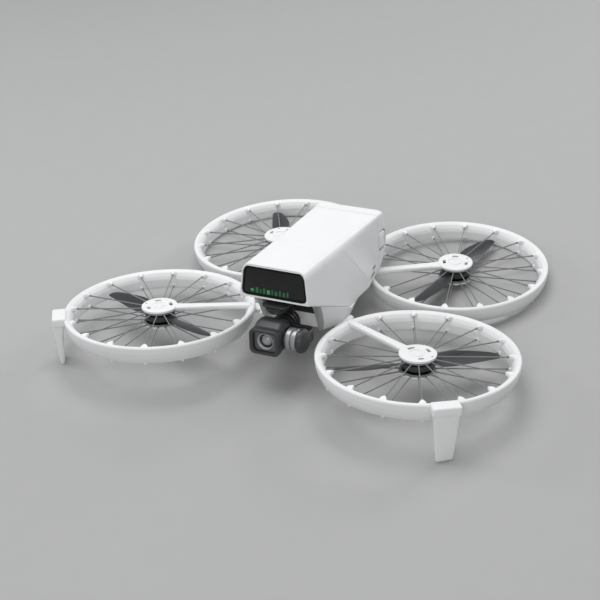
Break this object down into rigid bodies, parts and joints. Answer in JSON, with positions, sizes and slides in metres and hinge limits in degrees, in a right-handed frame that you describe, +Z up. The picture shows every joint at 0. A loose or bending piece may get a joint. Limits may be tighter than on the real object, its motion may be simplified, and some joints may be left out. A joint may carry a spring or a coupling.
{
  "type": "folding camera drone with ring guards",
  "caption": "White folding camera drone: boxy body with a black front window, stabilised camera below it, ring guards with spokes round the propellers and two landing legs.",
  "frame": {"origin": "the point on the ground under the middle of the bounding box, with the drone standing on its two front feet and the rims of its rear guards", "axes": "+X to the drone's left, -Y forwards along the camera side, +Z up from the ground; the body stands nose-up by 7.46 degrees"},
  "size_m": [0.276, 0.2306, 0.0691],
  "materials": {
    "white_shell": "satin, fine texture",
    "black_window": "glossy",
    "dark_plastic": "satin",
    "grey_spokes": "satin",
    "propeller": "satin",
    "motor_black": "satin",
    "gimbal_grey": "satin anodised look",
    "bright_rims": "turned, bright",
    "lens": "polished",
    "circuit_board": "satin",
    "contacts": "polished",
    "rubber": "matt",
    "green_light": "diffuse",
    "steel": "satin"
  },
  "bodies": {
    "body": {"upper_shell": "white_shell", "lower_body": "white_shell", "front_window": "black_window", "indicator_strip": "green_light", "main_board": "circuit_board", "battery_contacts": "contacts", "belly_sensor_window": "black_window", "usb_port": "dark_plastic", "card_slot": "dark_plastic", "gimbal_mount": "dark_plastic", "gimbal_damper_1": "rubber", "gimbal_damper_2": "rubber", "gimbal_damper_3": "rubber", "gimbal_damper_4": "rubber", "pan_motor": "gimbal_grey", "front_left_hinge_pin": "steel", "front_right_hinge_pin": "steel", "rear_left_hinge_pin": "steel", "rear_right_hinge_pin": "steel"},
    "front_left_guard": {"front_left_guard_ring": "white_shell", "front_left_arm": "white_shell", "front_left_upper_spokes": "grey_spokes", "front_left_lower_spokes": "grey_spokes", "front_left_motor_stator": "motor_black"},
    "front_left_rotor": {"front_left_motor_bell": "motor_black", "front_left_propeller": "propeller"},
    "front_right_guard": {"front_right_guard_ring": "white_shell", "front_right_arm": "white_shell", "front_right_upper_spokes": "grey_spokes", "front_right_lower_spokes": "grey_spokes", "front_right_motor_stator": "motor_black"},
    "front_right_rotor": {"front_right_motor_bell": "motor_black", "front_right_propeller": "propeller"},
    "rear_left_guard": {"rear_left_guard_ring": "white_shell", "rear_left_arm": "white_shell", "rear_left_upper_spokes": "grey_spokes", "rear_left_lower_spokes": "grey_spokes", "rear_left_motor_stator": "motor_black"},
    "rear_left_rotor": {"rear_left_motor_bell": "motor_black", "rear_left_propeller": "propeller"},
    "rear_right_guard": {"rear_right_guard_ring": "white_shell", "rear_right_arm": "white_shell", "rear_right_upper_spokes": "grey_spokes", "rear_right_lower_spokes": "grey_spokes", "rear_right_motor_stator": "motor_black"},
    "rear_right_rotor": {"rear_right_motor_bell": "motor_black", "rear_right_propeller": "propeller"},
    "battery": {"battery_pack": "white_shell"},
    "left_latch": {"battery_latch_left": "white_shell"},
    "right_latch": {"battery_latch_right": "white_shell"},
    "button": {"power_button": "white_shell"},
    "pan": {"pan_arm": "gimbal_grey", "roll_motor": "gimbal_grey"},
    "roll": {"roll_arm": "gimbal_grey", "tilt_motor": "bright_rims"},
    "camera": {"camera_housing": "gimbal_grey", "camera_hood": "dark_plastic", "lens_barrel": "dark_plastic", "lens_glass": "lens"}
  },
  "joints": [
    {"name": "front_left_fold", "type": "hinge", "parent": "body", "child": "front_left_guard", "pos_m": [0.02637, -0.03102, 0.01869], "axis": [0.3703, 0.8953, 0.2477], "range_deg": [0, 97.6]},
    {"name": "front_left_rotor", "type": "hinge", "parent": "front_left_guard", "child": "front_left_rotor", "pos_m": [0.08152, -0.05899, 0.02596], "axis": [0.023, 0.1298, 0.9913], "continuous": true},
    {"name": "front_right_fold", "type": "hinge", "parent": "body", "child": "front_right_guard", "pos_m": [-0.02594, -0.03102, 0.01869], "axis": [0.3703, -0.8953, -0.2477], "range_deg": [0, 97.6]},
    {"name": "front_right_rotor", "type": "hinge", "parent": "front_right_guard", "child": "front_right_rotor", "pos_m": [-0.08108, -0.05899, 0.02596], "axis": [-0.023, 0.1298, 0.9913], "continuous": true},
    {"name": "rear_left_fold", "type": "hinge", "parent": "body", "child": "rear_left_guard", "pos_m": [0.01071, 0.01678, 0.01259], "axis": [-0.5134, 0.6782, -0.5258], "range_deg": [0, 107.68]},
    {"name": "rear_left_rotor", "type": "hinge", "parent": "rear_left_guard", "child": "rear_left_rotor", "pos_m": [0.05997, 0.05887, 0.01415], "axis": [0.04, 0.047, 0.9981], "continuous": true},
    {"name": "rear_right_fold", "type": "hinge", "parent": "body", "child": "rear_right_guard", "pos_m": [-0.01027, 0.01678, 0.01259], "axis": [-0.5134, -0.6782, 0.5258], "range_deg": [0, 107.68]},
    {"name": "rear_right_rotor", "type": "hinge", "parent": "rear_right_guard", "child": "rear_right_rotor", "pos_m": [-0.05953, 0.05887, 0.01415], "axis": [-0.04, 0.047, 0.9981], "continuous": true},
    {"name": "gimbal_pan", "type": "hinge", "parent": "body", "child": "pan", "pos_m": [0.00022, -0.06673, 0.02697], "axis": [0, 0.1298, 0.9915], "range_deg": [-25, 25]},
    {"name": "gimbal_roll", "type": "hinge", "parent": "pan", "child": "roll", "pos_m": [0.00022, 0.00006, 0.02095], "axis": [0, 0.9915, -0.1298], "range_deg": [-30, 30]},
    {"name": "gimbal_tilt", "type": "hinge", "parent": "roll", "child": "camera", "pos_m": [0.00022, -0.07282, 0.03049], "axis": [-1, 0, 0], "range_deg": [-90, 35]},
    {"name": "battery_slide", "type": "slide", "parent": "body", "child": "battery", "axis": [0, 0.9915, -0.1298], "range_m": [0, 0.052]},
    {"name": "left_latch_press", "type": "slide", "parent": "battery", "child": "left_latch", "axis": [-1, 0, 0], "range_m": [0, 0.0012], "stiffness_N_per_m": 150, "springref_m": -0.0005},
    {"name": "right_latch_press", "type": "slide", "parent": "battery", "child": "right_latch", "axis": [1, 0, 0], "range_m": [0, 0.0012], "stiffness_N_per_m": 150, "springref_m": -0.0005},
    {"name": "power_button_press", "type": "slide", "parent": "body", "child": "button", "axis": [1, 0, 0], "range_m": [0, 0.0008], "stiffness_N_per_m": 400, "springref_m": -0.0005}
  ]
}
